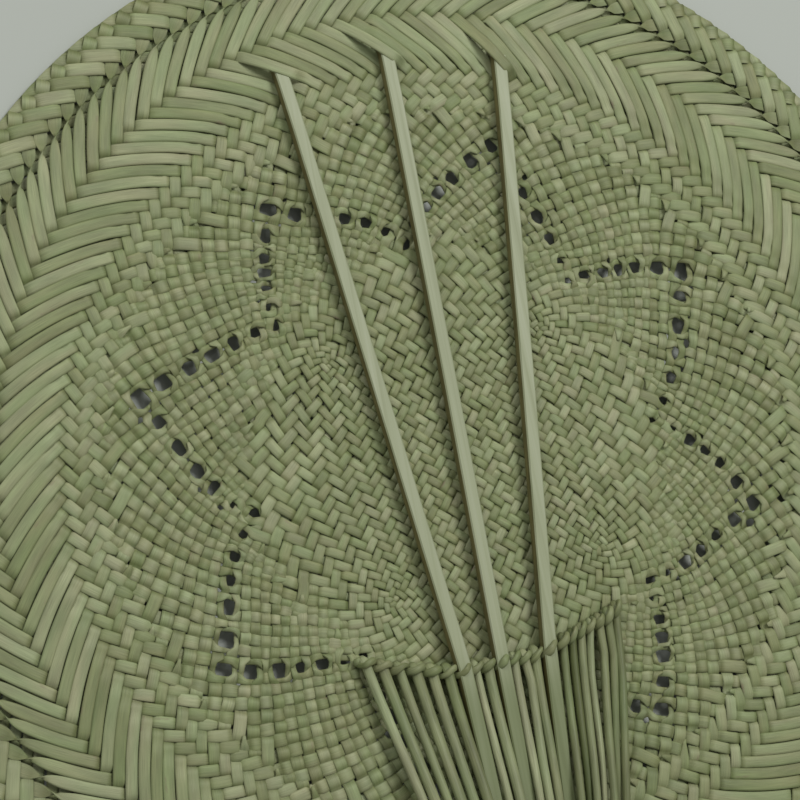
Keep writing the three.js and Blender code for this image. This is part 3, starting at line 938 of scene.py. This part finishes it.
def gather_strands(look):
    """Rolled palm strips that fan out from the handle and end just above the twine."""
    half_count = len(STRAND_X) / 4 - 0.5
    neck_pitch = STRAND_NECK_WIDTH + GAP
    for k, top_x in enumerate(STRAND_X):
        layer, slot = k % 2, k // 2
        neck_x = HANDLE_X + (slot - half_count) * neck_pitch
        layer_high = RIB_THICK + GAP + 0.5 * STRAND_NECK_WIDTH + layer * neck_pitch
        top = np.array([top_x, twine_y(top_x)])
        neck = np.array([neck_x, NECK_Y])
        reach = np.linalg.norm(neck - top)
        head = [-STRAND_HEAD / reach, -0.5 * STRAND_HEAD / reach]
        u = np.concatenate([head, np.linspace(0, 1, STRAND_POINTS) ** STRAND_CROWD])
        path = np.empty((len(u), 3))
        path[:, :2] = top + (neck - top) * u[:, None]
        rise = smooth(u, 0.01, 0.3 + 0.05 * layer)
        path[:, 2] = base_height(path[:, 1]) + 0.5 * STRAND_WIDTH + (layer_high - 0.5 * STRAND_WIDTH) * rise
        radius = 0.5 * (STRAND_WIDTH + (STRAND_NECK_WIDTH - STRAND_WIDTH) * np.clip(u, 0, 1))
        path[:2, 2] -= HEAD_DIP
        swing = RNG.normal(0, STRAND_SWING) * np.sin(math.pi * np.clip(u, 0, 1)) ** 2
        if k in STRAND_KINKS:
            where, far = STRAND_KINKS[k]
            way = np.where(u < where, where, KINK_FADE)
            swing = swing + far * np.clip(1 - np.abs(u - where) / way, 0, 1)
        path[:, 0] += swing
        straight = np.empty((HANDLE_POINTS, 3))
        straight[:, 0] = neck_x
        straight[:, 1] = np.linspace(NECK_Y - 3, HANDLE_END_Y, HANDLE_POINTS)
        straight[:, 2] = NECK_BASE + layer_high
        path = np.concatenate([path, straight])
        radius = np.concatenate([radius, np.full(HANDLE_POINTS, 0.5 * STRAND_NECK_WIDTH)])
        radius[0] *= HEAD_TAPER
        # A rolled leaf: the radius steps at the lapped edge, which winds slowly along the strand.
        run = np.arange(len(path))[:, None]
        lap = RNG.uniform(0, math.tau) + RNG.normal(0, LAP_DRIFT) * run
        turn = np.linspace(0, math.tau, STRAND_SIDES, endpoint=False)
        section = radius[:, None] * (LAP_OUT - LAP_STEP * turn / math.tau)
        section = section * (1 + RNG.normal(0, ROUGHNESS, (len(path), 1)))
        flat = RNG.uniform(*FLAT_SPREAD) * STRAND_FLAT[k]
        wide = 1 + (flat - 1) * (1 - smooth(run, *FLAT_TO))
        offsets = np.stack([wide * section * np.cos(turn + lap), section * np.sin(turn + lap)], axis=2)
        strand = tube_object(f"strand_{k + 1:02d}", path, offsets, (0, 0, 1), look, RNG.random())
        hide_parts(f"gather_strand_{k + 1:02d}")


PLIES = (("twine_ply_a", "twine_front_ply"), ("twine_ply_b", "twine_back_ply"))
PLY_POINTS = 14  # points of a ply to a strand or splint
PLY_SIDES = 10  # points round a ply
PLY_TAIL = 2.5  # the ends go three quarters of this past the outer strands
PLY_SWING = 0.75  # how far a ply swings to each side between two strands
PLY_TWIST = 1.3  # radians that a ply turns about itself to a strand
PLY_HIGH, PLY_WIDE = 0.95, 1.4  # a ply's section, flattened


def twine_plies(look):
    """Two plies that change sides between each strand or splint and the next."""
    warps = np.sort(np.concatenate([STRAND_X, RIB_TWINE_X]))
    count = len(warps)
    is_rib = np.isin(warps, RIB_TWINE_X)
    tops = TWINE_BASE + np.where(is_rib, RIB_THICK, STRAND_WIDTH) + 0.5 * TWINE_WIDTH
    low = PANEL_TOP + GAP + 0.5 * TWINE_WIDTH
    s = np.linspace(-0.75, count - 0.25, PLY_POINTS * count)
    stops = np.concatenate([[warps[0] - PLY_TAIL], warps, [warps[-1] + PLY_TAIL]])
    x = np.interp(s, np.arange(-1, count + 1), stops)
    ends = smooth(s, -0.8, -0.2) * (1 - smooth(s, count - 0.8, count - 0.2))
    for ply, (name, node) in enumerate(PLIES):
        phase = math.pi * (s + ply)
        # Twine laid by hand: its swing, line and size come and go along it.
        swing = PLY_SWING + 0.2 * np.sin(1.3 * s + 2.0 * ply)
        y = twine_y(x) + (swing * np.sin(phase) + 0.3 * np.sin(0.9 * s)) * ends
        lift = np.cos(phase)
        lift = 0.5 + 0.5 * np.sign(lift) * np.abs(lift) ** 0.6
        z = low + (np.interp(s, np.arange(count), tops) - low) * lift
        z = z * ends + (PANEL_TOP + 0.9) * (1 - ends)
        path = np.stack([x, y, z], axis=1)
        size = 1.08 + 0.1 * np.sin(5.0 * s + ply) + 0.15 * np.sin(1.9 * s + 2.0 * ply)
        round_it = np.linspace(0, math.tau, PLY_SIDES, endpoint=False)
        turn = round_it + PLY_TWIST * s[:, None]
        section = 0.5 * TWINE_WIDTH * size[:, None] * (1 + 0.08 * np.cos(2 * round_it))
        offsets = np.stack([PLY_HIGH * section * np.cos(turn), PLY_WIDE * section * np.sin(turn)], axis=2)
        piece = tube_object(name, path, offsets, (0, 1, 0.2), look, 0.35 + 0.3 * ply)
        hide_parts(node)


WRAP_CORNER = 1.2  # radius at the bundle's corners
CORNER_STEPS = 5
WRAP_DRIFT = 0.12  # spread of each turn's place
# The strip's section: place across and height, in shares of the half width and the thickness.
WRAP_SECTION = (
    (-1.0, 0.25), (-0.9, 0.75), (-0.45, 0.95), (0.0, 1.0),
    (0.45, 0.95), (0.9, 0.75), (1.0, 0.25), (0.0, 0.0),
)
WRAP_MIDDLE = 3  # the section's highest point


def handle_wrap(look):
    """A flat strip wound round the bundle, each turn crowned across its width."""
    high = RIB_THICK + 2 * GAP + 2 * STRAND_NECK_WIDTH
    middle = NECK_BASE + high / 2
    half_wide = (len(STRAND_X) / 4) * (STRAND_NECK_WIDTH + GAP) + GAP - WRAP_CORNER
    half_high = high / 2 + GAP - WRAP_CORNER
    outline = []
    for quarter, (sx, sz) in enumerate(((1, 1), (-1, 1), (-1, -1), (1, -1))):
        for step in range(CORNER_STEPS + 1):
            angle = (quarter + step / CORNER_STEPS) * math.pi / 2
            outline.append((sx * half_wide, sz * half_high, math.cos(angle), math.sin(angle)))
    outline = np.array(outline)
    per_turn = len(outline)
    k = np.arange(WRAP_TURNS * per_turn + 1)
    core = outline[k % per_turn]
    y = NECK_Y - WRAP_START - WRAP_WIDTH / 2 - k / per_turn * WRAP_PITCH
    y = y + np.interp(k, k[::per_turn], RNG.normal(0, WRAP_DRIFT, len(k[::per_turn])))
    across, crown = np.array(WRAP_SECTION).T
    out = WRAP_CORNER + WRAP_THICK * crown
    verts = np.empty((len(k), len(across), 3))
    verts[..., 0] = HANDLE_X + core[:, :1] + core[:, 2:3] * out
    verts[..., 1] = y[:, None] + across * WRAP_WIDTH / 2
    verts[..., 2] = middle + core[:, 1:2] + core[:, 3:4] * out
    run = run_along(verts[:, WRAP_MIDDLE])
    uv = np.stack(np.broadcast_arrays(across, run[:, None]), axis=2).reshape(-1, 2)
    tone = np.interp(run, run[::per_turn], RNG.uniform(0.2, 0.9, len(run[::per_turn])))
    piece = mesh_object("wrap_strip", verts.reshape(-1, 3), ribbon_faces(len(k), len(across), 0), uv,
                        np.repeat(tone, len(across)), look)
    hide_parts("handle_wrap")


FLOOR_HALF = 3.0
FLOOR_Z = -0.0004  # just below the fan
# Soft lights: name, place, size across and power.
LIGHTS = (("key", (0.72, 0.68, 1.64), 0.8, 18.0), ("fill", (-0.5, 1.1, 0.9), 0.9, 5.0))
LIGHT_AIM = (-0.01, 0.07, 0.0)
SKY_STRENGTH = 0.26


def floor():
    look = Look("table_top", roughness=0.8, specular=0.2)
    grain = look.noise("object", (3.0, 3.0, 3.0), 1.0, 2.0)
    look.colour(look.ramp(grain, (0.3, srgb(184, 189, 180)), (0.7, srgb(189, 194, 185))))
    mesh = bpy.data.meshes.new("table")
    corners = [(x * FLOOR_HALF, y * FLOOR_HALF, FLOOR_Z) for x, y in ((-1, -1), (1, -1), (1, 1), (-1, 1))]
    mesh.from_pydata(corners, [], [(0, 1, 2, 3)])
    mesh.materials.append(look.material)
    add_object("table", mesh)


def area_light(name, place, size, power):
    data = bpy.data.lights.new(name, "AREA")
    data.shape = "DISK"
    data.size = size
    data.energy = power
    light = add_object(name, data)
    light.location = place
    light.rotation_euler = (Vector(LIGHT_AIM) - Vector(place)).to_track_quat("-Z", "Y").to_euler()


def lights():
    for light in LIGHTS:
        area_light(*light)
    world = bpy.data.worlds.new("studio")
    world.use_nodes = True
    background = world.node_tree.nodes["Background"]
    background.inputs["Color"].default_value = grey(1.0)
    background.inputs["Strength"].default_value = SKY_STRENGTH
    bpy.context.scene.world = world


# Camera, fitted to the rim, the band and the star: it looks down from the left, tilted.
EYE = Vector((-187.3, -48.2, 499.0))
AIM = Vector((-13.15, 17.43, 1.6))
ROLL = math.radians(-10.8)
FOCAL_IN_FRAMES = 2340 / 800


def camera():
    back = (EYE - AIM).normalized()
    level = Vector((0, 1, 0)).cross(back).normalized()
    upright = back.cross(level)
    right = math.cos(ROLL) * level + math.sin(ROLL) * upright
    up = math.cos(ROLL) * upright - math.sin(ROLL) * level
    data = bpy.data.cameras.new("camera")
    data.sensor_fit = "HORIZONTAL"
    data.sensor_width = 36.0
    data.lens = 36.0 * FOCAL_IN_FRAMES
    data.clip_start = 0.01
    view = add_object("camera", data)
    turn = Matrix((right, up, back)).transposed().to_4x4()
    view.matrix_world = Matrix.Translation((EYE + Vector(DISC_CENTRE)) * MM) @ turn
    bpy.context.scene.camera = view


bpy.context.scene.view_settings.view_transform = "Standard"
camera()
lights()
floor()

palm = palm_look("palm_strip", srgb(140, 148, 102), srgb(153, 161, 117), srgb(166, 172, 131))
leaf_a, leaf_b = weave_leaf(palm)
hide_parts("woven_panel", "chevron_inner_limbs")
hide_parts("chevron_outer_limbs", "rim_plait")

rolled = palm_look("rolled_palm", srgb(96, 104, 62), srgb(132, 140, 98), srgb(166, 172, 132))
gather_strands(rolled)
twine_plies(palm_look("palm_twine", srgb(120, 128, 84), srgb(136, 144, 100), srgb(150, 156, 116)))
handle_wrap(palm)

bamboo = bamboo_look("bamboo_splint")
for rib in ("rib_left", "rib_middle", "rib_right"):
    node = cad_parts[rib]
    node.data.materials.clear()
    node.data.materials.append(bamboo)
